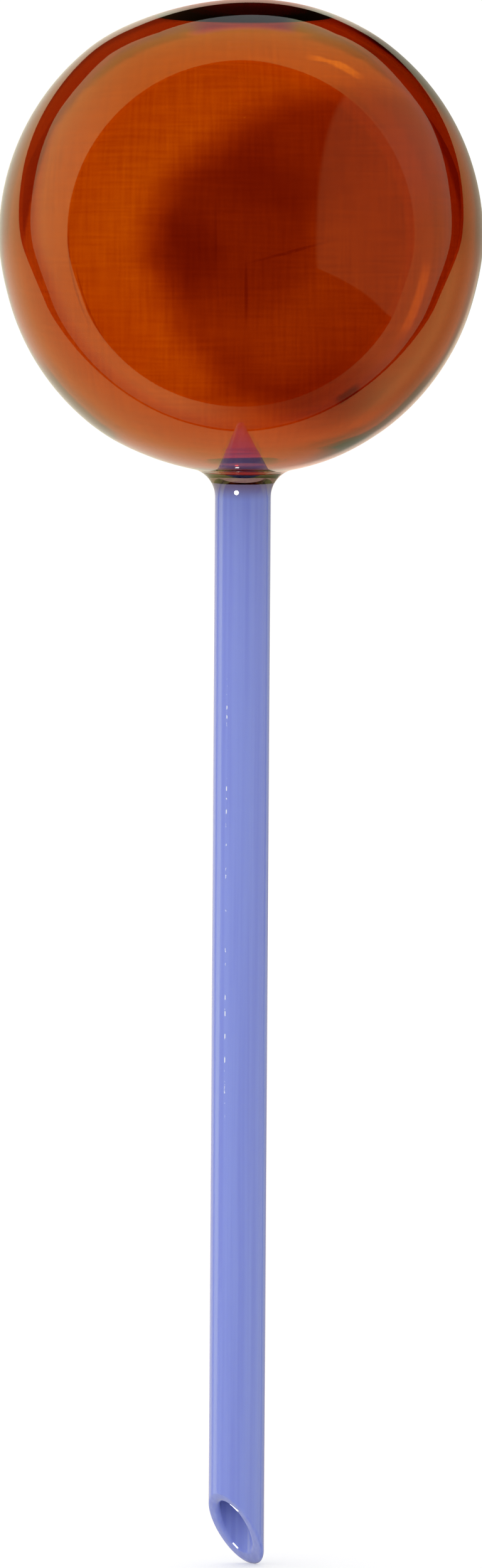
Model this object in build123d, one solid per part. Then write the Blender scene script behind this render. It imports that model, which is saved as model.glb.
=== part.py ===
from build123d import *
import os
from math import cos, radians, sin, sqrt, tan

# Watering globe: an amber blown-glass bulb sealed onto a lilac opal-glass stem.
# The stem is pushed into the soil, and water leaves through its bore as air goes up it.
# Frame: +Z up the stem, origin on the stem's axis at the height of the tip's lowest point.
# The ground tip opens towards -Y.

# Driving dimensions, in millimetres and degrees
bulb_diameter = 90.0            # across the widest part of the bulb
bulb_wall = 1.5                 # blown wall
pole_drop = 0.85                # how far each pole lies inside the body's sphere
pole_radius_gain = 4.4          # how much flatter the poles are than the body, as radius
shoulder_tightness = 11.0       # how much tighter the shoulders between pole and body are
crown_thickness = 4.8           # glass left in the middle of the top, where the bulb was closed
crown_underside_radius = 120.0  # the thick crown bulges down into the chamber
crown_blend_radius = 7.0        # runs the crown's underside into the wall
stem_diameter = 10.4            # drawn tube
stem_wall = 2.2                 # around the bore, the water's way through the tube
stem_length = 203.1             # from the tip's lowest point to the seal
seal_height = 1.9               # band where the two glasses are melted together
seal_climb = 0.3                # how far that band runs up the rounded base of the bulb
neck_radius = 5.4               # outside, from the bulb's underside into the stem
throat_radius = 7.0             # inside, from the chamber's floor into the bore
tip_angle = 34.5                # between the ground face and the stem's axis
tip_outer_round = 0.5           # fire-polished outer edge of the tip
tip_inner_round = 0.8           # fire-polished edge of the bore's mouth
polish_wall_share = 0.9         # the most of a thin wall that the two polished edges may take
cut_overrun = 5.0               # how far every cutting shape runs past the glass

# Sizes that follow
bulb_radius = bulb_diameter / 2
stem_radius = stem_diameter / 2
bore_radius = stem_radius - stem_wall
pole_radius = bulb_radius + pole_radius_gain
shoulder_radius = bulb_radius - shoulder_tightness
half_height = bulb_radius - pole_drop
seal_top = stem_length + seal_height
equator = seal_top - seal_climb + half_height
crown_top = equator + half_height
ground_wall = stem_wall / sin(radians(tip_angle))
sharp_reach = 1 / tan(radians(tip_angle / 2))
blunt_reach = tan(radians(tip_angle / 2))
front_reach = tip_inner_round * sharp_reach + tip_outer_round * blunt_reach
back_reach = tip_outer_round * sharp_reach + tip_inner_round * blunt_reach
ground_room = polish_wall_share * ground_wall / max(front_reach, back_reach)
side_room = polish_wall_share * stem_wall / (tip_outer_round + tip_inner_round)
polish_room_share = min(1, ground_room, side_room)
outer_polish = tip_outer_round * polish_room_share
inner_polish = tip_inner_round * polish_room_share
crown_centre = Vector(0, crown_top - pole_radius)
body_centre = Vector(0, equator)
base_centre = Vector(0, equator - half_height + pole_radius)
tip_corner = -outer_polish * (sharp_reach - 1)
tip_span = stem_diameter / tan(radians(tip_angle))


def point_on(centre, through, radius):
    """The point of a circle that lies on the line from its centre through another point."""
    return centre + (through - centre).normalized() * radius


def arc(centre, start, end):
    """The short arc about a centre from one point to another."""
    radius = (start - centre).length
    middle = point_on(centre, (start + end) / 2, radius)
    return ThreePointArc(start, middle, end)


def blend_centre(near, near_radius, far, far_radius, radius):
    """Centre of an arc that touches two circles on the axis from inside, at positive X."""
    gap = far.Y - near.Y
    to_near = near_radius - radius
    to_far = far_radius - radius
    along = (to_near**2 - to_far**2 + gap**2) / (2 * gap)
    return Vector(sqrt(to_near**2 - along**2), near.Y + along)


def vessel(inset, throat, throat_fillet, bottom):
    """Solid of the bulb and its tube as one smooth turned shape, every bulb surface moved in by inset."""
    body = bulb_radius - inset
    pole = pole_radius - inset
    shoulder = shoulder_radius - inset
    upper = blend_centre(body_centre, body, crown_centre, pole, shoulder)
    lower = blend_centre(body_centre, body, base_centre, pole, shoulder)
    neck_x = throat + throat_fillet
    neck = Vector(neck_x, base_centre.Y - sqrt((pole + throat_fillet) ** 2 - neck_x**2))

    top = Vector(0, crown_centre.Y + pole)
    crown_end = point_on(crown_centre, upper, pole)
    body_start = point_on(body_centre, upper, body)
    body_end = point_on(body_centre, lower, body)
    base_start = point_on(base_centre, lower, pole)
    base_end = point_on(base_centre, neck, pole)
    tube_start = Vector(throat, neck.Y)
    tube_end = Vector(throat, bottom)
    axis_end = Vector(0, bottom)

    outline = Wire(
        [
            arc(crown_centre, top, crown_end),
            arc(upper, crown_end, body_start),
            arc(body_centre, body_start, body_end),
            arc(lower, body_end, base_start),
            arc(base_centre, base_start, base_end),
            arc(neck, base_end, tube_start),
            Line(tube_start, tube_end),
            Line(tube_end, axis_end),
            Line(axis_end, top),
        ]
    )
    return revolve(Plane.XZ * Face(outline), Axis.Z)


def chamber_and_bore():
    """The hollow: the chamber under its thick crown, the throat and the stem's bore."""
    hollow = vessel(bulb_wall, bore_radius, throat_radius, tip_corner - cut_overrun)
    lens_height = crown_top - crown_thickness + crown_underside_radius
    hollow -= Pos(0, 0, lens_height) * Sphere(crown_underside_radius)
    crown_rim = hollow.edges().filter_by(GeomType.CIRCLE).sort_by(Axis.Z)[-1]
    return fillet(crown_rim, crown_blend_radius)


def tip_cut():
    """Block that takes away everything below and in front of the ground face."""
    across = Vector(0, -cos(radians(tip_angle)), -sin(radians(tip_angle)))
    face = Plane(origin=(0, 0, tip_corner + tip_span / 2), x_dir=(1, 0, 0), z_dir=across)
    side = 2 * (tip_span + cut_overrun)
    return face * Box(side, side, side, align=(Align.CENTER, Align.CENTER, Align.MIN))


def glass():
    """All the glass in one piece, before it is parted into bulb, seal and stem."""
    outside = vessel(0, stem_radius, neck_radius, tip_corner)
    return outside - chamber_and_bore()


def between(solid, low, high):
    """The part of a solid between two heights."""
    side = bulb_diameter + 2 * cut_overrun
    slab = Box(side, side, high - low, align=(Align.CENTER, Align.CENTER, Align.MIN))
    return solid & (Pos(0, 0, low) * slab)


def make_bulb(whole):
    return between(whole, seal_top, crown_top + cut_overrun)


def make_seal_ring(whole):
    return between(whole, stem_length, seal_top)


def make_stem(whole):
    stem = between(whole, tip_corner - cut_overrun, stem_length) - tip_cut()
    ground = stem.faces().filter_by(GeomType.PLANE).sort_by(Axis.Z)[0]
    inner_rim = ground.inner_wires()[0].edges()
    stem = fillet(inner_rim, inner_polish)
    ground = stem.faces().filter_by(GeomType.PLANE).sort_by(Axis.Z)[0]
    outer_rim = ground.outer_wire().edges()
    return fillet(outer_rim, outer_polish)


os.makedirs("parts", exist_ok=True)
whole = glass()
pieces = {
    "bulb": make_bulb(whole),
    "seal_ring": make_seal_ring(whole),
    "stem": make_stem(whole),
}
for name, piece in pieces.items():
    export_step(piece, f"parts/{name}.step")
    box = piece.bounding_box()
    print(name, "volume", round(piece.volume, 1), "z", round(box.min.Z, 3), round(box.max.Z, 3))
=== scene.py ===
# %% [markdown]
# A watering globe is one piece of lamp-worked glass: an amber bulb, blown thin, melted onto a
# lilac opal tube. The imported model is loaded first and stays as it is. Everything made below
# takes its place and its main sizes from it.

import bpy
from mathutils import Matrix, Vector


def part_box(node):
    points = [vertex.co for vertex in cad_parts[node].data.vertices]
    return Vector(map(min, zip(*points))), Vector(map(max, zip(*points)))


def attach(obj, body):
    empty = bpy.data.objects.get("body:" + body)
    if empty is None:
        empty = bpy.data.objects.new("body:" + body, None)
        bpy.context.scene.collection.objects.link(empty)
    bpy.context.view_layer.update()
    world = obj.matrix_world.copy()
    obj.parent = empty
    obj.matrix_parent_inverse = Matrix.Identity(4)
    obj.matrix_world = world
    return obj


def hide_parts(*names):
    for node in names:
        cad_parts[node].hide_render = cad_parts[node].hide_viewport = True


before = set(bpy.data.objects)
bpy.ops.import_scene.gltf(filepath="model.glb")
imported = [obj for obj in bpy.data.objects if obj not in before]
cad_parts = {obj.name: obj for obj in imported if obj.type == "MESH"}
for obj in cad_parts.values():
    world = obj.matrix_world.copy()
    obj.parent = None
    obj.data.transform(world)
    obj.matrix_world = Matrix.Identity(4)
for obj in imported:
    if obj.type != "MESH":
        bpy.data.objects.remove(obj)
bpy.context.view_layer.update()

# %% Imports
from math import asin, atan2, cos, degrees, log, pi, radians, sin, sqrt, tan

import bmesh
import bpy
from mathutils import Matrix, Vector, noise

# %% [markdown]
# A globe's outline is turned, so it is drawn once as a profile and spun. The sizes that the
# profile needs come in two groups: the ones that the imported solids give, and the blower's own,
# such as walls and blending radii, which no box shows.

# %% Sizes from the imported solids
mm = 0.001
bulb_low, bulb_high = [Vector(corner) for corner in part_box("bulb")]
ring_low, ring_high = [Vector(corner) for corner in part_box("seal_ring")]
stem_low = Vector(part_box("stem")[0])

bulb_radius = (bulb_high.y - bulb_low.y) / 2
crown_top = bulb_high.z
seal_top = ring_high.z
seal_bottom = ring_low.z
tip_height = stem_low.z
print("bulb radius", round(bulb_radius / mm, 2), "mm, seal from", round(seal_bottom / mm, 2), "mm")

# %% Sizes that the glass blower sets
bulb_wall = 1.5 * mm
pole_drop = 0.85 * mm
pole_radius_gain = 4.4 * mm
shoulder_tightness = 11 * mm
crown_thickness = 4.8 * mm
crown_underside_radius = 120 * mm
crown_blend_radius = 7 * mm
stem_radius = 5.2 * mm
stem_wall = 2.2 * mm
neck_radius = 5.4 * mm
throat_radius = 7 * mm
tip_angle = radians(34.5)
outer_polish = 0.5 * mm
inner_polish = 0.8 * mm

bore_radius = stem_radius - stem_wall
pole_radius = bulb_radius + pole_radius_gain
shoulder_radius = bulb_radius - shoulder_tightness
half_height = bulb_radius - pole_drop
equator = crown_top - half_height
crown_centre = crown_top - pole_radius

# %% [markdown]
# The camera stands where the photographer's did: a little above the bulb, far away with a long
# lens, and turned round the stem so that the slanted tip shows its open side. It comes before
# the making, because the studio's light panels are later set out around the same direction.
# Views from other sides keep this lens and step back until everything fits, and they see no
# further than a hundred times the object's radius. A longer lens would push them past that, and
# their pictures would be empty without any error, so the step is worked out and printed here.

# %% Camera
view_azimuth = radians(41.8)
view_elevation = radians(5.2)
view_roll = radians(0.37)
view_distance = 4.0
picture_height_at_object = 292.07 * mm
sensor_long_side = 36
picture_shape = 768 / 2500
camera_reach = 100
farthest_seen = 100
room_round_object = 1.03

toward_camera = Vector((
    sin(view_azimuth) * cos(view_elevation),
    -cos(view_azimuth) * cos(view_elevation),
    sin(view_elevation),
))
picture_right = Vector((cos(view_azimuth), sin(view_azimuth), 0))
picture_up = toward_camera.cross(picture_right)
aim = Vector((0, 0, 146.7 * mm))

camera = bpy.data.objects.new("camera", bpy.data.cameras.new("camera"))
bpy.context.collection.objects.link(camera)
camera.data.sensor_width = sensor_long_side
camera.data.lens = sensor_long_side * view_distance / picture_height_at_object
camera.data.clip_end = camera_reach
turned = Matrix((picture_right, picture_up, toward_camera)).transposed().to_4x4()
roll = Matrix.Rotation(view_roll, 4, "Z")
camera.matrix_world = Matrix.Translation(aim + view_distance * toward_camera) @ turned @ roll
bpy.context.scene.camera = camera
bpy.context.scene.view_settings.view_transform = "Standard"
print("lens", round(camera.data.lens), "mm at", view_distance, "m")

half_width = picture_shape * picture_height_at_object / (2 * view_distance)
step_back = room_round_object / sin(atan2(half_width, 1))
print("other views stand", round(step_back, 1), "radii away and see up to", farthest_seen)
assert step_back + 1 < farthest_seen, "the lens is too long for the other views"

# %% [markdown]
# The outline is a chain of arcs that run smoothly into each other, as a blower's tools leave
# them. Each arc starts where the last one ended and turns about its own centre, so the chain
# needs only each arc's radius and the direction that the glass faces where the arc ends: 0 is
# up, a right angle is sideways. A radius below zero is a hollow curve.

# %% Where two arcs run into each other
def crossing(height_a, radius_a, height_b, radius_b):
    """The point, away from the axis, where two circles centred on the axis meet."""
    gap = height_b - height_a
    along = (radius_a**2 - radius_b**2 + gap**2) / (2 * gap)
    return Vector((sqrt(radius_a**2 - along**2), 0, height_a + along))


def facing(point, height):
    """How far from straight up a point lies, seen from a height on the axis."""
    return atan2(point.x, point.z - height)


shoulder = crossing(
    equator, bulb_radius - shoulder_radius, crown_centre, pole_radius - shoulder_radius
)
crown_end = facing(shoulder, crown_centre)
shoulder_end = facing(shoulder, equator)
print("crown ends at", round(degrees(crown_end), 1), "degrees")
print("shoulder ends at", round(degrees(shoulder_end), 1), "degrees")

# %% The outside's arcs
def neck_facing(pole, fillet, tube):
    """Where the bulb's base turns into a neck that runs down into a tube."""
    return pi - asin((tube + fillet) / (pole + fillet))


outside_arcs = [
    (pole_radius, crown_end),
    (shoulder_radius, shoulder_end),
    (bulb_radius, pi - shoulder_end),
    (shoulder_radius, pi - crown_end),
    (pole_radius, neck_facing(pole_radius, neck_radius, stem_radius)),
    (-neck_radius, pi / 2),
]
print("the outside has", len(outside_arcs), "arcs")

# %% The inside's arcs
inner_pole_radius = pole_radius - bulb_wall
underside_height = crown_top - crown_thickness
lens_centre = underside_height + crown_underside_radius
blend = crossing(
    lens_centre, crown_underside_radius + crown_blend_radius,
    crown_centre, inner_pole_radius - crown_blend_radius,
)
inside_arcs = [
    (-crown_underside_radius, -asin(blend.x / (crown_underside_radius + crown_blend_radius))),
    (crown_blend_radius, facing(blend, crown_centre)),
    (inner_pole_radius, crown_end),
    (shoulder_radius - bulb_wall, shoulder_end),
    (bulb_radius - bulb_wall, pi - shoulder_end),
    (shoulder_radius - bulb_wall, pi - crown_end),
    (inner_pole_radius, neck_facing(inner_pole_radius, throat_radius, bore_radius)),
    (-throat_radius, pi / 2),
]
print("the crown's underside is blended at a radius of", round(blend.x / mm, 1), "mm")

# %% [markdown]
# A compass and a lathe both turn things about a point, and so does bmesh's spin. Spinning one
# vertex about an arc's centre draws the arc, and spinning the finished outline about the stem's
# axis makes the glass. The tube below the neck is drawn with short steps, so that it can be
# made slightly uneven later, and with one long step at the tip, which is cut at a slant.

# %% Compass
arc_step = 1.6 * mm
fewest_arc_steps = 12
tube_step = 4 * mm
plain_tip = 24 * mm
merge_distance = 0.001 * mm
cut_tolerance = merge_distance / 10


def draw_skin(bm, start_height, arcs):
    """Draws the chain of arcs from the axis down, then the tube's straight line."""
    point = bm.verts.new((0, 0, start_height))
    angle = 0
    for radius, end in arcs:
        normal = Vector((sin(angle), 0, cos(angle)))
        steps = max(fewest_arc_steps, round(abs(radius * (end - angle)) / arc_step))
        drawn = bmesh.ops.spin(
            bm, geom=[point], cent=point.co - radius * normal, axis=(0, 1, 0),
            angle=end - angle, steps=steps,
        )
        point = drawn["geom_last"][0]
        angle = end
    count = round((point.co.z - plain_tip) / tube_step)
    lengths = [(point.co.z - plain_tip) / count] * count + [2 * plain_tip]
    for length in lengths:
        drawn = bmesh.ops.extrude_vert_indiv(bm, verts=[point])
        point = drawn["verts"][0]
        point.co.z -= length

# %% [markdown]
# The three pieces share one outline, so that they line up exactly. Each piece takes the stretch
# between two heights: the outline is cut there, and a straight line across the wall closes it
# before it is spun. A closed outline makes a closed solid with a real wall, which glass needs,
# because a renderer works out how light bends and how much colour it picks up from where it
# goes in and where it comes out.

# %% Lathe
def cut_across(bm, height, away):
    """Cuts the outline at a height, drops one side and draws a line across the wall."""
    cut = bmesh.ops.bisect_plane(
        bm, geom=bm.verts[:] + bm.edges[:], dist=cut_tolerance,
        plane_co=(0, 0, height), plane_no=(0, 0, away), clear_outer=True,
    )
    ends = [part for part in cut["geom_cut"] if isinstance(part, bmesh.types.BMVert)]
    bmesh.ops.contextual_create(bm, geom=ends)


def turn_piece(low, high, segments):
    """Spins the stretch of glass between two heights; without a height it runs to the crown."""
    bm = bmesh.new()
    draw_skin(bm, crown_top, outside_arcs)
    draw_skin(bm, underside_height, inside_arcs)
    cut_across(bm, low, -1)
    if high is not None:
        cut_across(bm, high, 1)
    bmesh.ops.spin(
        bm, geom=bm.verts[:] + bm.edges[:], cent=(0, 0, 0), axis=(0, 0, 1),
        angle=2 * pi, steps=segments, use_merge=True,
    )
    bmesh.ops.remove_doubles(bm, verts=bm.verts, dist=merge_distance)
    bmesh.ops.recalc_face_normals(bm, faces=bm.faces)
    return bm


sharp_angle = radians(40)


def finish_piece(bm, name, soft_edges=()):
    """Makes a smooth-shaded object at the origin, and prints its face count and its glass volume.
    """
    for face in bm.faces:
        face.smooth = True
    for edge in bm.edges:
        edge.smooth = edge.calc_face_angle() < sharp_angle
    for edge in soft_edges:
        edge.smooth = True
    volume = bm.calc_volume(signed=True)
    mesh = bpy.data.meshes.new(name)
    bm.to_mesh(mesh)
    bm.free()
    piece = bpy.data.objects.new(name, mesh)
    bpy.context.collection.objects.link(piece)
    print(name, len(mesh.polygons), "faces,", round(volume / mm**3), "cubic mm of glass")
    return piece

# %% [markdown]
# Nothing blown by hand is quite round. The bulb leans a little off the stem's axis, and its
# crown was pulled to one side as it was closed. Its lower half lies a little inside a round
# form. The wall is uneven too, which makes streaks and wobbles in what shines through. Slow
# noise moves the skins by up to a tenth of a millimetre or so.

# %% Hand-blown unevenness
bulb_lean = -0.65 * mm
lean_depth = 7 * mm
crown_lean = 1.5 * mm
crown_lean_depth = 10 * mm
outer_wobble = 0.03 * mm
inner_wobble = 0.14 * mm
wobble_length = 26 * mm
neck_calm = 12 * mm
base_tuck = 0.32 * mm
base_tuck_depth = 12 * mm
tuck_calm = 8 * mm


def smooth_share(value, low, high):
    """0 below low, 1 above high, and an even rise between."""
    share = min(max((value - low) / (high - low), 0), 1)
    return share * share * (3 - 2 * share)


def hand_blow(bm):
    """Leans the bulb and its crown, and makes both skins slightly uneven."""
    middle = Vector((0, 0, equator))
    for vert in bm.verts:
        outward = (vert.co - middle).normalized()
        swing = outer_wobble if vert.normal.dot(outward) > 0 else inner_wobble
        swing *= smooth_share(vert.co.z, seal_top, seal_top + neck_calm)
        push = noise.noise(vert.co / wobble_length) * swing
        tuck = base_tuck * smooth_share(equator - vert.co.z, 0, base_tuck_depth)
        push -= tuck * smooth_share(vert.co.z, seal_top, seal_top + tuck_calm)
        lean = bulb_lean * smooth_share(vert.co.z, seal_top, seal_top + lean_depth)
        crown_share = max(vert.co.z - crown_top + crown_lean_depth, 0) / crown_lean_depth
        lean += crown_lean * crown_share**2
        vert.co += outward * push + picture_right * lean


# %% The bulb
bulb_around = 192
weld_gap = 0.01 * mm
bulb_mesh = turn_piece(seal_top + weld_gap, None, bulb_around)
hand_blow(bulb_mesh)
bulb = finish_piece(bulb_mesh, "blown_bulb")

# %% [markdown]
# The ring where the two glasses are melted together runs a hair over the stem's end, so that
# light inside the clear ring meets the opal glass directly, as it does in a real weld. Towards
# the bulb a gap far thinner than a hair keeps the two closed solids apart.

# %% The seal ring
weld_lap = 0.05 * mm
weld_skin = 0.01 * mm
ring_mesh = turn_piece(seal_bottom - weld_lap, seal_top - weld_gap, bulb_around)
for vert in ring_mesh.verts:
    sideways = Vector((vert.normal.x, vert.normal.y, 0))
    vert.co += sideways.normalized() * weld_skin
ring = finish_piece(ring_mesh, "melted_ring")

# %% [markdown]
# The stem's tip is ground off at a slant. Its outline ends square, and after the spin a shear
# moves only the end into the slanted plane, so that its faces stay flat and even. The ground
# edges were held in the flame until they ran round, with one radius all the way, and the sharp
# side of the slant needs a much wider bevel for that than the blunt side. So each edge of the
# two rims gets its own bevel weight, worked out from the angle between the faces it joins.

# %% The width of a bevel that rounds an edge
def bevel_width(radius, angle):
    """The width whose stretched quarter circle has its middle where a round edge's would be."""
    half = angle / 2
    return radius * (1 - sin(half)) / (sin(half) * cos(half) * (2 - sqrt(2)))


widest_bevel = bevel_width(max(inner_polish, outer_polish), tip_angle)
print("widest bevel", round(widest_bevel / mm, 2), "mm")

# %% The stem and its slanted tip
stem_around = 96
tip_corner = tip_height - outer_polish * (1 / sin(tip_angle / 2) - 1) * cos(tip_angle / 2)
tip_slope = 1 / tan(tip_angle)
rim_angle = radians(20)
polish_segments = 8

stem_mesh = turn_piece(tip_height, seal_bottom, stem_around)
end = [vert for vert in stem_mesh.verts if vert.co.z < tip_height + merge_distance]
shear = Matrix.Identity(4)
shear[2][1] = -tip_slope
shear[2][3] = tip_corner - tip_height + tip_slope * stem_radius
bmesh.ops.transform(stem_mesh, matrix=shear, verts=end)

weight = stem_mesh.edges.layers.float.new("bevel_weight_edge")
tip_rims = []
for edge in stem_mesh.edges:
    middle = (edge.verts[0].co + edge.verts[1].co) / 2
    across = Vector((middle.x, middle.y)).length
    if middle.z < plain_tip and edge.calc_face_angle() > rim_angle:
        radius = outer_polish if across > (stem_radius + bore_radius) / 2 else inner_polish
        edge[weight] = bevel_width(radius, pi - edge.calc_face_angle()) / widest_bevel
        tip_rims.append(edge)
print(len(tip_rims), "edges round the tip's two rims")
stem = finish_piece(stem_mesh, "opal_stem", soft_edges=tip_rims)

polish = stem.modifiers.new("fire_polish", "BEVEL")
polish.limit_method = "WEIGHT"
polish.offset_type = "OFFSET"
polish.width = widest_bevel
polish.segments = polish_segments
polish.use_clamp_overlap = False
even = stem.modifiers.new("even_shading", "WEIGHTED_NORMAL")
even.keep_sharp = True

# %% [markdown]
# Materials are node graphs. Writing their sums as Python expressions keeps them readable, so a
# small class wraps a socket: adding or comparing wrapped sockets adds the Math nodes. A mask
# is a value that is 1 on a mark or patch and 0 elsewhere, with a soft edge between them.

# %% Shader maths as expressions
class Wire:
    """A socket that can stand in a sum."""

    def __init__(self, graph, socket):
        self.graph = graph
        self.socket = socket

    def math(self, operation, *values):
        return self.graph.node("ShaderNodeMath", {"operation": operation}, list(values))

    def __add__(self, other):
        return self.math("ADD", self, other)

    __radd__ = __add__

    def __sub__(self, other):
        return self.math("SUBTRACT", self, other)

    def __rsub__(self, other):
        return self.math("SUBTRACT", other, self)

    def __mul__(self, other):
        return self.math("MULTIPLY", self, other)

    __rmul__ = __mul__

    def __truediv__(self, other):
        return self.math("DIVIDE", self, other)

    def __pow__(self, other):
        return self.math("POWER", self, other)

    def __lt__(self, other):
        return self.math("LESS_THAN", self, other)

    def __gt__(self, other):
        return self.math("GREATER_THAN", self, other)

    def highest(self, other):
        return self.math("MAXIMUM", self, other)

    def ramp(self, low, high):
        """Rises smoothly from 0 at low to 1 at high, or falls where high is the lower one."""
        if high < low:
            return 1 - self.ramp(high, low)
        inputs = {"Value": self, "From Min": low, "From Max": high}
        settings = {"interpolation_type": "SMOOTHSTEP"}
        return self.graph.node("ShaderNodeMapRange", settings, inputs)


class Graph:
    """A node tree that starts empty."""

    def __init__(self, tree):
        self.tree = tree
        tree.nodes.clear()

    def node(self, kind, settings=None, inputs=None, output=0):
        """Adds a node, sets it up, fills or links its inputs and gives back one output."""
        node = self.tree.nodes.new(kind)
        for name, value in (settings or {}).items():
            setattr(node, name, value)
        if isinstance(inputs, list):
            inputs = dict(enumerate(inputs))
        for key, value in (inputs or {}).items():
            if isinstance(value, Wire):
                self.tree.links.new(value.socket, node.inputs[key])
            else:
                node.inputs[key].default_value = value
        return Wire(self, node.outputs[output]) if node.outputs else node


def kept(share, mask):
    """What is left where a mask takes away a share."""
    return 1 - share * mask


def distance_from(value, middle):
    """How far a value lies from a middle, on either side."""
    gap = value - middle
    return gap.math("ABSOLUTE", gap)


# %% [markdown]
# Glass shows what is around it, so most of its look is made by the room. The bulb mirrors the
# pale backdrop only near its rim, where it faces sideways and backwards. A dark gap runs round
# inside it, then come pale walls at the sides, and the middle mirrors the dim room behind the
# camera and one large panel to the right. The world is painted by direction for mirrored
# light. Straight through the glass it is an even backdrop, and matt surfaces get plain soft
# light from all round, a little stronger from the left.
#
# A patch of the room is written as a few ramps. Each ramp names what it reads, where it is still
# 0 and where it has reached 1, and the patch is where all its ramps are 1.

# %% Directions of the studio, as seen from the photographer's place
least_sideways = 1e-4


def part_along(graph, place, axis):
    """How far a place or direction reaches along an axis."""
    settings = {"operation": "DOT_PRODUCT"}
    return graph.node("ShaderNodeVectorMath", settings, [place, axis], output="Value")


class Studio:
    """What a direction reads in the photograph's own frame, for the world to be painted by."""

    def __init__(self, graph):
        here = graph.node("ShaderNodeTexCoord")
        self.right = part_along(graph, here, picture_right)
        self.up = part_along(graph, here, picture_up)
        away = 0 - part_along(graph, here, toward_camera)
        sideways = (self.right * self.right + self.up * self.up) ** 0.5
        sideways = sideways.highest(least_sideways)
        self.upward = self.up / sideways
        self.leftward = (0 - self.right) / sideways
        self.from_behind = away.math("ARCCOSINE", away)

    def readings(self, flip=1):
        """Up and left run from -1 to 1, and behind is the angle from straight behind."""
        up = self.upward * flip
        return {"up": up, "left": self.leftward * flip, "behind": self.from_behind}


def patch(readings, ramps):
    """1 on a patch of directions and 0 outside it."""
    share = 1.0
    for reading, low, high in ramps:
        share = readings[reading].ramp(low, high) * share
    return share


# %% Where the backdrop ends
edge_softness = radians(0.4)
edge_sideways = radians(50)
edge_fall = radians(37.6)
edge_bend = radians(2.9)
edge_return = radians(13.5)
edge_lift = radians(2.2)
edge_lift_patch = (("up", 0, 0.3), ("up", 0.85, 0.6))
edge_crown = radians(2)
edge_crown_patch = (("up", 0.92, 1),)
gap_least = radians(1.3)
gap_most = radians(17)
gap_opens = (("up", -0.8, 0.6),)
gap_crown = radians(4)
gap_crown_patch = (("up", 0.52, 0.75),)


def backdrop_edge(readings):
    """How far from straight behind the backdrop reaches."""
    s = readings["up"]
    edge = edge_sideways - s * (edge_fall + s * (edge_bend - edge_return * s))
    edge += edge_lift * patch(readings, edge_lift_patch)
    return edge - edge_crown * patch(readings, edge_crown_patch)


def gap_width(readings):
    """The dark gap between backdrop and walls is wide above and closes below."""
    width = gap_least + (gap_most - gap_least) * patch(readings, gap_opens)
    return width + gap_crown * patch(readings, gap_crown_patch)


print("the backdrop ends", round(degrees(edge_sideways)), "degrees from behind at the sides")

# %% Light that was mirrored inside the glass
backdrop_inside = 0.72
walls_inside = 0.55
shade_lean = radians(6)
shade_lean_patch = (("left", 0.3, -0.4),)

# The share that is lost, and where: above, low at the right, low at the left, all along the left
inside_shades = (
    (0.8, (
        ("up", 0.15, 0.6), ("behind", radians(52), radians(44)),
        ("leaning", radians(24), radians(30)),
    )),
    (0.5, (("up", -0.5, -0.75), ("left", -0.3, -0.5))),
    (0.4, (("up", -0.5, -0.6), ("left", 0.55, 0.65), ("behind", radians(24), radians(20)))),
    (0.22, (("left", 0.3, 0.8), ("behind", radians(20), radians(30)))),
)


def inside_light(studio, far):
    """The share of the room's light that is left, by the side of the bulb that it comes to.

    The bulb's far wall is a hollow mirror and turns the room upside down, so there the sides
    are swapped back.
    """
    readings = studio.readings(1 - 2 * far)
    lean = shade_lean * patch(readings, shade_lean_patch)
    readings["leaning"] = readings["behind"] + lean
    lit = 1.0
    for share, ramps in inside_shades:
        lit = lit * kept(share, patch(readings, ramps))
    return lit


# %% The backdrop
backdrop_left = 0.86
backdrop_right = 0.43
backdrop_turns = (("left", -0.6, 0.2),)
crown_patch = (("up", 0.96, 0.99),)
crown_loss = 0.37
rim_patch = (("behind", radians(22), radians(14)), ("up", 0.1, -0.3), ("left", 0.2, -0.4))
rim_gain = 0.35
top_right_patch = (("up", 0.85, 0.93), ("left", 0, -0.3))
top_right_gain = 0.25
right_patch = (
    ("behind", radians(42), radians(56)), ("left", 0, -0.6), ("up", 0.1, -0.3), ("up", -0.9, -0.7),
)
right_gain = 0.35
backdrop_red = 1.06
crown_red = 0.45
rim_red = 0.25
haze_least = 0.38
haze_gain = 0.42
haze_patch = (("behind", radians(50), radians(12)),)
haze_loss = 0.07
haze_loss_patch = (("left", -0.5, -1),)


def backdrop_light(studio, inside, lit):
    """Red, green and blue of the backdrop, which is paler at the left and hazy straight behind."""
    readings = studio.readings()
    crown = patch(readings, crown_patch)
    rim = patch(readings, rim_patch)
    level = backdrop_right + (backdrop_left - backdrop_right) * patch(readings, backdrop_turns)
    level += top_right_gain * patch(readings, top_right_patch)
    level += right_gain * patch(readings, right_patch)
    level = level * kept(crown_loss, crown) + rim_gain * rim
    level = level + inside * (backdrop_inside * lit - level)
    past_edge = studio.from_behind - backdrop_edge(readings)
    level = level * past_edge.ramp(edge_softness, -edge_softness)
    haze = haze_least + haze_gain * patch(readings, haze_patch)
    haze = haze - haze_loss * patch(readings, haze_loss_patch)
    return level * (backdrop_red + crown_red * crown + rim_red * rim), level, level * haze


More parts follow.
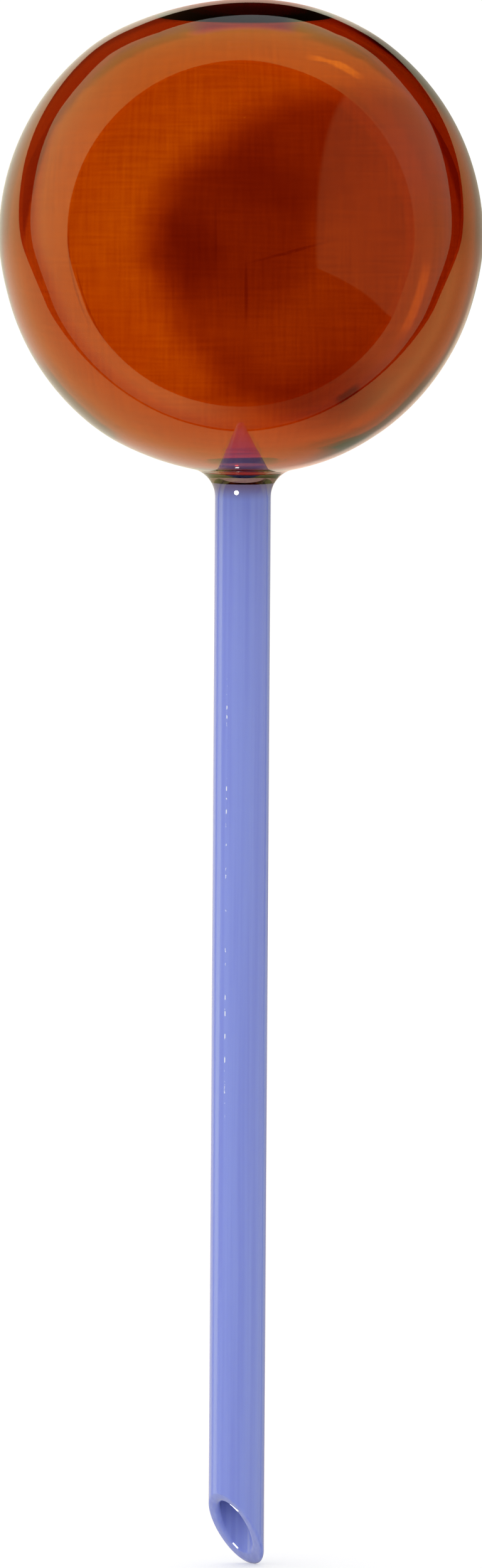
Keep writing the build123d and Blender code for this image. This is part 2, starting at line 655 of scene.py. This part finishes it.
# %% The walls
wall_end = radians(89)
wall_fade = radians(12)
wall_slant = 0.35
wall_dim = 0.6
wall_bright = 1.2
wall_brightest = 1.45
wall_turns = (("side", -0.55, 0.1),)
wall_peaks = (("side", 0.8, 1.05),)
low_patch = (("up", -0.6, -0.9),)
low_loss = 0.65
near_loss = 0.55
near_ease = 0.3
near_ease_patch = (("up", 0, 0.8),)
near_patch = (("left", -0.5, 0.3),)
overhead_patch = (("up", 0.4, 0.95),)
overhead_loss = 0.1
veil_patch = (("up", 0.972, 0.992), ("into_wall", radians(17), radians(11)))
veil_loss = 0.45
wall_blue = 0.38
overhead_blue_loss = 0.12
right_blue_patch = (("up", 0, 0.4), ("left", -0.5, -0.9))
right_blue_gain = 0.17
near_blue_gain = 0.14

# %% The dark gap
gap_outside = 0.07
gap_inside = 0.15
gap_left_patch = (("left", -0.7, 0.5),)
gap_top_patch = (("up", 0.9, 1),)
gap_top_loss = 0.8
gap_colour = (1.2, 0.5, 0.15)


def wall_light(studio, inside, lit):
    """Red, green and blue of the walls, warmer overhead, and of what little lights the gap."""
    readings = studio.readings()
    behind = studio.from_behind
    into_wall = behind - backdrop_edge(readings) - gap_width(readings)
    readings["into_wall"] = into_wall
    readings["side"] = readings["left"] + wall_slant * readings["up"]
    on_wall = into_wall.ramp(-edge_softness, edge_softness)
    near = into_wall.ramp(wall_fade, 0)
    overhead = patch(readings, overhead_patch)
    veil = patch(readings, veil_patch)

    dim = wall_dim * kept(low_loss, patch(readings, low_patch))
    level = dim + (wall_bright - dim) * patch(readings, wall_turns)
    level += (wall_brightest - wall_bright) * patch(readings, wall_peaks)
    near_share = near_loss - near_ease * patch(readings, near_ease_patch)
    level = level * (1 - near * near_share * patch(readings, near_patch))
    level = level * kept(overhead_loss, overhead) * kept(veil_loss, veil)
    level = level * on_wall * (behind - wall_end).ramp(edge_softness, -edge_softness)
    level = level * (1 - inside * (1 - walls_inside * lit))

    gap = (1 - on_wall) * patch(readings, gap_left_patch)
    gap = gap * kept(gap_top_loss, patch(readings, gap_top_patch))
    gap = gap * (gap_outside + inside * (gap_inside - gap_outside))

    blue = wall_blue - overhead_blue_loss * overhead * (1 - near)
    blue += right_blue_gain * patch(readings, right_blue_patch)
    blue += near_blue_gain * near
    blue += veil * (1 - blue)
    gap_red, gap_green, gap_blue = gap_colour
    return level + gap_red * gap, level + gap_green * gap, level * blue + gap_blue * gap


# %% The panel behind the camera
panel_edge = 0.59
panel_edge_softness = 0.02
panel_slope = -0.53
panel_foot_softness = 0.01
panel_level = 0.33
panel_tint = (1, 1, 0.42)


def panel_light(studio):
    """How much light the panel gives, which has an upright left edge and a sloping foot."""
    shape = studio.right.ramp(panel_edge - panel_edge_softness, panel_edge + panel_edge_softness)
    above_foot = studio.up - panel_slope * studio.right
    shape = shape * above_foot.ramp(-panel_foot_softness, panel_foot_softness)
    shape = shape * (studio.from_behind - wall_end).ramp(-edge_softness, edge_softness)
    return shape * panel_level


# %% The world
backdrop_through_glass = 0.7
soft_level = 1.1
left_gain = 0.45
hardly_any = 0.01
once_or_more = 0.5
three_times_or_more = 2.5

world = bpy.data.worlds.new("studio")
world.use_nodes = True
bpy.context.scene.world = world
graph = Graph(world.node_tree)
studio = Studio(graph)


def path_facts(graph, *names):
    """Outputs of the Light Path node, such as whether a ray comes straight from the camera."""
    path = graph.node("ShaderNodeLightPath")
    return [Wire(graph, path.socket.node.outputs[name]) for name in names]


is_camera, is_glossy, is_through, times_mirrored, times_through = path_facts(
    graph, "Is Camera Ray", "Is Glossy Ray", "Is Transmission Ray", "Glossy Depth",
    "Transmission Depth",
)
plain = is_camera.highest(is_through * backdrop_through_glass)
soft = soft_level - left_gain * studio.right
open_level = plain + (plain < hardly_any) * soft
inside = times_through > once_or_more
lit = inside_light(studio, times_through > three_times_or_more)
panel = panel_light(studio)
sources = zip(backdrop_light(studio, inside, lit), wall_light(studio, inside, lit), panel_tint)
room_colour = graph.node("ShaderNodeCombineColor", None, [
    backdrop + wall + panel * tint for backdrop, wall, tint in sources
])
room = graph.node("ShaderNodeBackground", None, {"Color": room_colour})
open_light = graph.node("ShaderNodeBackground", None, {
    "Color": (1, 1, 1, 1), "Strength": open_level,
})
mirrored = is_glossy * (times_mirrored > once_or_more)
both = graph.node("ShaderNodeMixShader", None, [mirrored, open_light, room])
graph.node("ShaderNodeOutputWorld", None, {"Surface": both})
print("studio has", len(graph.tree.nodes), "nodes")

# %% [markdown]
# The bulb stands close in front of a backdrop and throws an amber shadow on it, which shows
# through the bulb as a dark, soft-edged stain with two bright streaks, where the bulb gathered
# the light like a lens. A card just behind the bulb, which only light that came through glass
# can see, carries that shadow and the backdrop's weave. It stands for a part of the backdrop and
# isn't part of the object. The shadow fades out before the card ends, so that no straight edge
# shows from the sides. The light has crossed amber glass twice there, so where red drops by some
# share, green drops by a higher power of it.

# %% Shapes on the shadow card
thread_pitch = 0.7 * mm
thread_length = 12 * mm
thread_contrast = 0.35
noise_middle = 0.5
noise_detail = 3.0
bow_end_share = 0.4
bow_edge_shares = (1.3, 0.5)


def noise_over(graph, place, lengths):
    """Noise from 0 to 1 whose grain has the given length along each axis."""
    settings = {"operation": "DIVIDE"}
    scaled = graph.node("ShaderNodeVectorMath", settings, [place, lengths])
    inputs = {"Vector": scaled, "Scale": 1.0, "Detail": noise_detail}
    return graph.node("ShaderNodeTexNoise", None, inputs)


def blob(across, up, centre, radii, soft):
    """1 inside an ellipse and 0 outside it; soft is the share of a radius that its edge takes."""
    x = (across - centre[0] * mm) / (radii[0] * mm)
    y = (up - centre[1] * mm) / (radii[1] * mm)
    return ((x * x + y * y) ** 0.5).ramp(1 + soft, 1 - soft)


def bow(across, up, radius, half_width, start, end):
    """1 on a part of a ring round the bulb's middle, 0 elsewhere.

    Its angles are in degrees and run clockwise from straight down.
    """
    out = (across * across + up * up) ** 0.5
    turn = across.math("ARCTAN2", 0 - across, 0 - up)
    turn = turn + (turn < 0) * (2 * pi)
    half = radians(end - start) / 2
    ends = distance_from(turn, radians(start + end) / 2).ramp(half, half * bow_end_share)
    outer, inner = bow_edge_shares
    width = distance_from(out, radius * mm)
    return ends * width.ramp(half_width * mm * outer, half_width * mm * inner)


def weave(graph, across, up):
    """Fine threads both ways, as shares round 1."""
    flat = graph.node("ShaderNodeCombineXYZ", None, [across, up, 0.0])
    upright = noise_over(graph, flat, (thread_pitch, thread_length, 1)) - noise_middle
    level = noise_over(graph, flat, (thread_length, thread_pitch, 1)) - noise_middle
    return 1 + thread_contrast * upright + thread_contrast * level


# %% The painted amber shadow
drift_length = 1 / 60
drift_width = 9 * mm
shadow_fades_from = 66 * mm
shadow_fades_to = 86 * mm
rim_shadow = 0.45
rim_shadow_out = (44.5 * mm, 46.5 * mm)
rim_shadow_up = (-8 * mm, 4 * mm)

# The share of light that is lost, the middle, the radii and the edge's softness; lengths in mm
shadow_blobs = (
    (0.4, (27.5, -3), (44.5, 34), 0.12),
    (0.3, (-1, 3), (15, 16), 0.4),
    (0.2, (9, 17), (13, 11), 0.5),
    (0.25, (-10.5, -3), (4.5, 8), 0.6),
    (0.12, (-2, -25), (6, 5), 0.6),
    (0.1, (20, -23), (7, 6), 0.5),
    (0.2, (1, -31), (12, 4), 0.6),
    (0.25, (18, -33), (12, 8), 0.5),
)
# The share that is lost, the radius and half width in mm, and where the bow starts and ends
shadow_bows = (
    (0.85, 60, 10, 199, 245),
    (0.8, 60, 10, 27, 63),
    (0.8, 60, 10, 298, 346),
)


def painted_amber_shadow(graph, here, across, up):
    """The share of red light that the amber shadow leaves."""
    drift = noise_over(graph, here, (drift_length,) * 3)
    across = across + (drift - noise_middle) * drift_width
    shade = 1.0
    for share, centre, radii, soft in shadow_blobs:
        shade = shade * kept(share, blob(across, up, centre, radii, soft))
    out = (across * across + up * up) ** 0.5
    shade = shade * (1 - rim_shadow * out.ramp(*rim_shadow_out) * up.ramp(*rim_shadow_up))
    for share, *shape in shadow_bows:
        shade = shade * kept(share, bow(across, up, *shape))
    return 1 - (1 - shade) * out.ramp(shadow_fades_to, shadow_fades_from)


# %% Creases and bright streaks
crease_softness = 0.5

# The share that is lost, how much the line climbs to the right, its middle and radii in mm
crease_lines = (
    (0.25, 0, (0.1, -9.3), (0.3, 5.5)),
    (0.2, 0.27, (8.5, -4), (7, 0.3)),
    (0.15, 0, (-5.5, 2), (0.25, 5)),
)
crease_bows = (
    (0.25, 34.4, 0.25, 58, 100),
    (0.2, 33.2, 0.2, 50, 85),
)
# Two streaks are brighter than the shadow, so their share is below zero, and one is darker
streak_bows = (
    (-0.6, 40.3, 0.9, 196, 217),
    (-0.6, 36.4, 1.1, 273, 303),
    (0.6, 37.0, 1.2, 320, 331),
)


def creases(across, up):
    """Thin dark lines of painted shade in the backdrop's creases, within the shadow, as shares
    that are left.
    """
    left = 1.0
    for share, slope, centre, radii in crease_lines:
        line = blob(across, up - slope * across, centre, radii, crease_softness)
        left = left * kept(share, line)
    for share, *shape in crease_bows:
        left = left * kept(share, bow(across, up, *shape))
    return left


# %% The amber shadow
card_half_size = 90 * mm
card_gap = 1 * mm
green_power = 2.1
green_gain = 1.5


def shadow_card():
    """A card square to the camera, at the bulb's back, that glows with the backdrop's painted
    amber shadow.
    """
    bm = bmesh.new()
    bmesh.ops.create_grid(bm, x_segments=1, y_segments=1, size=card_half_size)
    middle = Vector((0, 0, equator)) - (bulb_radius + card_gap) * toward_camera
    bm.transform(Matrix.Translation(middle) @ turned)
    mesh = bpy.data.meshes.new("shadow_card")
    bm.to_mesh(mesh)
    bm.free()
    card = bpy.data.objects.new("shadow_card", mesh)
    bpy.context.collection.objects.link(card)
    material = bpy.data.materials.new("amber_shadow")
    material.use_nodes = True
    mesh.materials.append(material)
    graph = Graph(material.node_tree)
    here = graph.node("ShaderNodeTexCoord", output="Object")
    across = part_along(graph, here, picture_right) - middle.dot(picture_right)
    up = part_along(graph, here, picture_up) - middle.dot(picture_up)
    # The card's glow paints the amber shadow, the backdrop's weave and the shade in its creases
    shade = painted_amber_shadow(graph, here, across, up) * weave(graph, across, up) * creases(across, up)
    for share, *shape in streak_bows:
        shade = shade * kept(share, bow(across, up, *shape))
    shade = shade * backdrop_through_glass
    green = shade ** green_power * green_gain
    colour = graph.node("ShaderNodeCombineColor", None, [shade, green, shade])
    glow = graph.node("ShaderNodeEmission", None, {"Color": colour, "Strength": 1.0})
    graph.node("ShaderNodeOutputMaterial", None, {"Surface": glow})
    for sight in ("camera", "diffuse", "glossy", "volume_scatter", "shadow"):
        setattr(card, "visible_" + sight, False)
    print("the shadow card has", len(graph.tree.nodes), "nodes")


shadow_card()

# %% [markdown]
# Coloured glass isn't painted: light loses part of its colour on the way through. A surface
# that only bends and mirrors, filled with an absorbing volume, gets the pale thin walls, the
# deep rim and the nearly black crown from one setting. The strength is chosen so that one wall
# lets through the share of red, green and blue that the photograph shows. Blown glass is never
# quite even either: cords of slightly different glass run round it, small seeds of air are
# trapped in it, and years of use leave faint water marks and hairline scratches.

# %% Marks of making and use
white = (1, 1, 1, 1)
black = (0, 0, 0, 1)
cord_width = 5 * mm
cord_length = 40 * mm
cord_edges = (0.5, 0.72)
cord_tint = (0.97, 0.95, 0.93, 1)
seed_spacing = 9 * mm
seed_radius = 0.12 * mm
seed_core = 0.3
scratch_width = 0.25 * mm
scratch_length = 9 * mm
scratch_edges = (0.72, 0.78)
scratch_height = 0.12
mark_size = 14 * mm
mark_edges = (0.52, 0.7)
mark_roughness = 0.04
relief_strength = 0.15
relief_depth = 0.02 * mm


def mix_colours(graph, share, first, second):
    """The first colour where the share is 0 and the second where it is 1."""
    settings = {"data_type": "RGBA"}
    return graph.node("ShaderNodeMix", settings, {0: share, 6: first, 7: second}, output=2)


def bump(graph, height, strength, depth):
    """A normal that makes a height look raised."""
    inputs = {"Height": height, "Strength": strength, "Distance": depth}
    return graph.node("ShaderNodeBump", None, inputs)


def seeds(graph, here):
    """1 on a few pinhead bubbles, 0 elsewhere."""
    inputs = {"Vector": here, "Scale": 1 / seed_spacing, "Randomness": 1.0}
    away = graph.node("ShaderNodeTexVoronoi", None, inputs)
    return away.ramp(seed_radius / seed_spacing, seed_core * seed_radius / seed_spacing)


# %% Clear coloured glass
glass_ior = 1.47
amber_through_wall = (0.84, 0.31, 0.02)
seal_through_wall = (0.58, 0.43, 0.42)


def clear_glass(name, through_share, thickness):
    """Glass that lets through the given shares of red, green and blue at one thickness."""
    material = bpy.data.materials.new(name)
    material.use_nodes = True
    graph = Graph(material.node_tree)
    losses = [-log(share) / thickness for share in through_share]
    density = max(losses)
    colour = [1 - loss / density for loss in losses] + [1]
    here = graph.node("ShaderNodeTexCoord", output="Object")
    cords = noise_over(graph, here, (cord_length, cord_length, cord_width)).ramp(*cord_edges)
    marks = noise_over(graph, here, (mark_size,) * 3).ramp(*mark_edges)
    grain = (scratch_length, scratch_length, scratch_width)
    scratches = noise_over(graph, here, grain).ramp(*scratch_edges)
    height = scratches * scratch_height + seeds(graph, here)
    surface = graph.node("ShaderNodeBsdfPrincipled", None, {
        "Base Color": mix_colours(graph, cords, white, cord_tint),
        "Roughness": marks * mark_roughness,
        "IOR": glass_ior,
        "Transmission Weight": 1.0,
        "Normal": bump(graph, height, relief_strength, relief_depth),
    })
    volume = graph.node("ShaderNodeVolumeAbsorption", None, {"Color": colour, "Density": density})
    graph.node("ShaderNodeOutputMaterial", None, {"Surface": surface, "Volume": volume})
    print(name, "density", round(density), "colour", [round(c, 3) for c in colour[:3]])
    return material


amber = clear_glass("blown_amber", amber_through_wall, bulb_wall)
seal = clear_glass("melted_seal", seal_through_wall, stem_wall)

# %% [markdown]
# Opal glass is full of fine white particles. Light goes in, wanders and comes out nearby, so
# the tube looks soft and bright at its edges, under a hard wet gloss. The tube was drawn out
# hot, which pulled its unevenness into faint streaks along its length. A broken hairline of
# painted highlight runs along the tube on the camera's side. Next to the joint the lilac is
# painted darker and greyer, as shade under the bulb. Right under the joint sits a painted
# highlight dot with a painted darker ring, and two short painted highlights lie on the ground
# tip. The dot and the tip highlights glow in the glass, because a mark there keeps its place
# and size from every side.

# %% Marks in the opal glass
opal_colour = (0.29, 0.35, 0.77, 1)
# Painted shade below the joint under the bulb, also the painted ring round the highlight dot
painted_shade_colour = (0.19, 0.15, 0.27, 1)
streak_colour = (0.26, 0.31, 0.74, 1)
# Colour of the painted highlight line along the tube
glint_line_colour = (0.85, 0.88, 0.95, 1)
# How far below the joint the painted shade reaches
shade_by_joint_depth = 3.4 * mm
streak_width = 1.1 * mm
streak_length = 90 * mm
streak_edges = (0.35, 0.65)
glint_strength = 3.0

facing_side = Vector((toward_camera.x, toward_camera.y, 0)).normalized()
print("the marks face", [round(part, 2) for part in facing_side])

# %% Painted highlight line
glint_line_left = -2.7 * mm
glint_line_width = 0.13 * mm
glint_line_core = 0.4
glint_line_low = 82 * mm
glint_line_high = 168 * mm
glint_line_fade = 5 * mm
glint_line_grain = (mm, mm, 1.5 * mm)
glint_line_breaks = (0.55, 0.62)


def painted_glint_line(graph, here, across, height):
    """A painted highlight: a broken hairline glint along the tube, on the side of the camera."""
    dashes = noise_over(graph, here, glint_line_grain).ramp(*glint_line_breaks)
    off = distance_from(across, glint_line_left)
    line = off.ramp(glint_line_width, glint_line_core * glint_line_width) * dashes
    line = line * height.ramp(glint_line_low, glint_line_low + glint_line_fade)
    return line * height.ramp(glint_line_high, glint_line_high - glint_line_fade)


# %% The painted highlight dot
highlight_dot_left = -1.2 * mm
highlight_dot_height = 201.5 * mm
highlight_dot_radius = 0.45 * mm
highlight_dot_core = 0.8
highlight_ring = 1.5
highlight_ring_shade_share = 0.4


def painted_highlight_dot(across, height, front):
    """A mask of the painted highlight dot and one of the painted darker ring round it."""
    x = across - highlight_dot_left
    z = height - highlight_dot_height
    out = (x * x + z * z) ** 0.5
    highlight_dot = out.ramp(highlight_dot_radius, highlight_dot_core * highlight_dot_radius) * front
    ring_shade = out.ramp(highlight_ring * highlight_dot_radius, highlight_dot_radius) * (1 - highlight_dot) * front
    return highlight_dot, ring_shade


# %% Painted highlights on the ground tip
tip_glint_width = 0.13 * mm
tip_glint_core = 0.5
tip_glint_fade = 0.2 * mm
tip_glint_depth = 0.9 * mm
tip_glint_depth_core = 0.6
tip_glints = (
    (Vector((-1.3, 12.05)) * mm, Vector((0.4, 10.75)) * mm),
    (Vector((-0.64, 3.95)) * mm, Vector((0.38, 2.85)) * mm),
)


def glint_on_tip(graph, here, across, height):
    """1 on two short painted highlights on the slanted face, 0 elsewhere."""
    slant = height - tip_corner + tip_slope * (part_along(graph, here, (0, 1, 0)) - stem_radius)
    off_face = slant.math("ABSOLUTE", slant)
    on_face = off_face.ramp(tip_glint_depth, tip_glint_depth_core * tip_glint_depth)
    found = 0.0
    for start, end in tip_glints:
        length = (end - start).length
        way = (end - start) / length
        x = across - start.x
        z = height - start.y
        along = x * way.x + z * way.y
        off = x * way.y - z * way.x
        off = off.math("ABSOLUTE", off)
        dash = off.ramp(tip_glint_width, tip_glint_core * tip_glint_width)
        dash = dash * along.ramp(0, tip_glint_fade) * along.ramp(length, length - tip_glint_fade)
        found = (dash * on_face).highest(found)
    return found


# %% Opal glass
opal_ior = 1.5
opal_roughness = 0.03
polish_roughness = 0.05
polish_grain = (2 * mm, 2 * mm, 8 * mm)
polish_edges = (0.3, 0.8)
ripple_grain = (2.5 * mm, 2.5 * mm, 40 * mm)
ripple_strength = 0.3
ripple_depth = 0.05 * mm
wander_share = 0.5
wander_distance = 1.2 * mm


def opal_glass(name):
    """Milky glass under a gloss, with its streaks, painted shade by the joint, and painted
    highlights as marks.
    """
    material = bpy.data.materials.new(name)
    material.use_nodes = True
    graph = Graph(material.node_tree)
    here = graph.node("ShaderNodeTexCoord", output="Object")
    across = part_along(graph, here, picture_right)
    front = part_along(graph, here, facing_side) > 0
    height = part_along(graph, here, (0, 0, 1))
    grain = (streak_width, streak_width, streak_length)
    streaks = noise_over(graph, here, grain).ramp(*streak_edges)
    # Painted shade by the joint, and painted highlights: the line, the dot with its darker ring,
    # the tip dashes
    shade_by_joint = height.ramp(seal_bottom - shade_by_joint_depth, seal_bottom)
    glint_line = painted_glint_line(graph, here, across, height) * front
    highlight_dot, ring_shade = painted_highlight_dot(across, height, front)
    bright = highlight_dot.highest(glint_on_tip(graph, here, across, height))

    colour = mix_colours(graph, streaks, opal_colour, streak_colour)
    colour = mix_colours(graph, shade_by_joint, colour, painted_shade_colour)
    colour = mix_colours(graph, glint_line, colour, glint_line_colour)
    colour = mix_colours(graph, ring_shade * highlight_ring_shade_share, colour, painted_shade_colour)
    colour = mix_colours(graph, bright, colour, white)
    polish = noise_over(graph, here, polish_grain).ramp(*polish_edges)
    ripple = noise_over(graph, here, ripple_grain)
    surface = graph.node("ShaderNodeBsdfPrincipled", None, {
        "Base Color": colour,
        "Roughness": opal_roughness + polish_roughness * polish,
        "IOR": opal_ior,
        "Subsurface Weight": wander_share,
        "Subsurface Scale": wander_distance,
        "Subsurface Radius": (1, 1, 1),
        "Normal": bump(graph, ripple, ripple_strength, ripple_depth),
        # The painted highlights glow
        "Emission Color": mix_colours(graph, bright, black, white),
        "Emission Strength": glint_strength,
    })
    graph.node("ShaderNodeOutputMaterial", None, {"Surface": surface})
    print(name, "has", len(graph.tree.nodes), "nodes")
    return material


lilac = opal_glass("lilac_opal")

# %% [markdown]
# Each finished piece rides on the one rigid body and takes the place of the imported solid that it
# shows. The floor is plain and pale. Glass would mirror it as a hard line and show it through
# the bulb, so mirrored light and light through glass don't see it.

# %% Dress the pieces
for piece, node, material, slot in (
    (bulb, "bulb", amber, "amber_glass"),
    (ring, "seal_ring", seal, "seal_glass"),
    (stem, "stem", lilac, "lilac_opal_glass"),
):
    piece.data.materials.append(material)
    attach(piece, "root")
    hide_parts(node)
    print(piece.name, "takes the place of", node)

# %% Floor
floor_half_size = 40
floor_colour = (0.7, 0.7, 0.7, 1)
floor_glow = 0.3

floor_mesh = bpy.data.meshes.new("floor")
bm = bmesh.new()
bmesh.ops.create_grid(bm, x_segments=1, y_segments=1, size=floor_half_size)
bm.to_mesh(floor_mesh)
bm.free()
floor = bpy.data.objects.new("floor", floor_mesh)
bpy.context.collection.objects.link(floor)
floor_material = bpy.data.materials.new("pale_floor")
floor_material.use_nodes = True
graph = Graph(floor_material.node_tree)
matt = graph.node("ShaderNodeBsdfDiffuse", None, {"Color": floor_colour})
is_camera = path_facts(graph, "Is Camera Ray")[0]
glow = graph.node("ShaderNodeEmission", None, {"Strength": is_camera * floor_glow})
both = graph.node("ShaderNodeAddShader", None, [matt, glow])
graph.node("ShaderNodeOutputMaterial", None, {"Surface": both})
floor_mesh.materials.append(floor_material)
floor.visible_glossy = False
floor.visible_transmission = False
